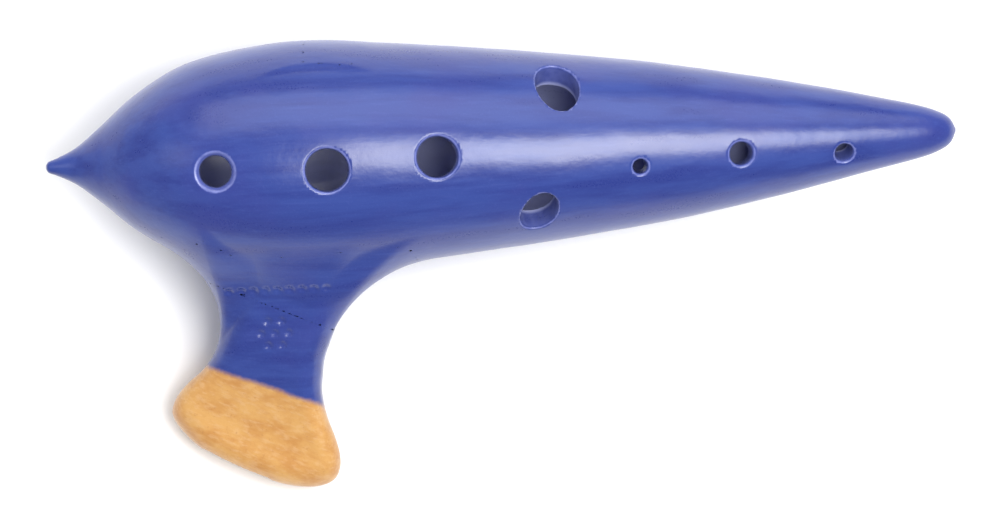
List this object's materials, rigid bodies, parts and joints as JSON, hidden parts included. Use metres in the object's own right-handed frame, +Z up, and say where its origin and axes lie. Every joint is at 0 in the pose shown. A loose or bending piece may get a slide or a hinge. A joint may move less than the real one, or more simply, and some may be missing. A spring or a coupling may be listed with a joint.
{
  "type": "ocarina",
  "caption": "Transverse ocarina of fired clay with a satin blue coat, finger and thumb holes, and a flared bare clay mouthpiece.",
  "frame": {"origin": "on the plane it lies on, under the middle of its whole outline", "axes": "+X from the pointed nose to the tail, -Y out along the mouthpiece, +Z up, the side of the finger holes"},
  "size_m": [0.165, 0.0808, 0.0416],
  "materials": {
    "blue_coat": "satin",
    "bare_clay": "satin"
  },
  "bodies": {
    "root": {"back_shell": "blue_coat", "front_shell": "blue_coat", "labium": "blue_coat", "mouth_end_back": "bare_clay", "mouth_end_front": "bare_clay", "neck_back": "blue_coat", "neck_collar": "blue_coat", "neck_front": "blue_coat", "seam_coil_beak_side": "blue_coat", "seam_coil_far_side": "blue_coat"}
  },
  "joints": []
}
